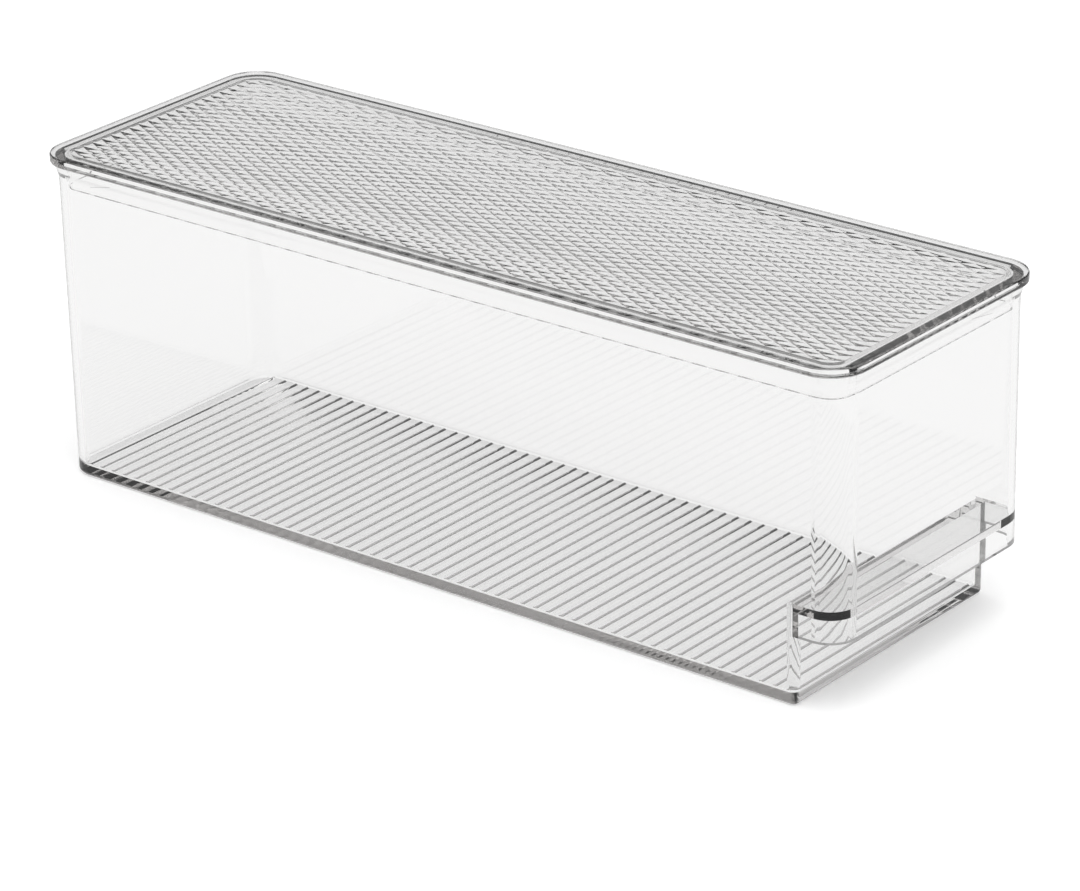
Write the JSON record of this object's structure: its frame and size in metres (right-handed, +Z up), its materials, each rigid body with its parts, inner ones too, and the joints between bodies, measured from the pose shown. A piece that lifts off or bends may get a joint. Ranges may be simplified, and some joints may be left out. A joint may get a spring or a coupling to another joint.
{
  "type": "acrylic storage box with lid",
  "caption": "Long clear storage box with a ribbed floor, a stepped front end with a moulded pull grip, and a lift-off flanged lid with a diamond texture.",
  "frame": {"origin": "middle of the lid's outline on the base plane that the box stands on", "axes": "+X along the length towards the end with the pull grip, +Y across the width, +Z up out of the lid"},
  "size_m": [0.32, 0.106, 0.1121],
  "materials": {
    "tub_plastic": "clear, polished",
    "lid_plastic": "clear, polished, with a fine diamond texture on the panel"
  },
  "bodies": {
    "tub": {"tub": "tub_plastic"},
    "lid": {"lid": "lid_plastic"}
  },
  "joints": [
    {"name": "lid_lift", "type": "slide", "parent": "tub", "child": "lid", "axis": [0, 0, 1], "range_m": [0, 0.06]}
  ]
}
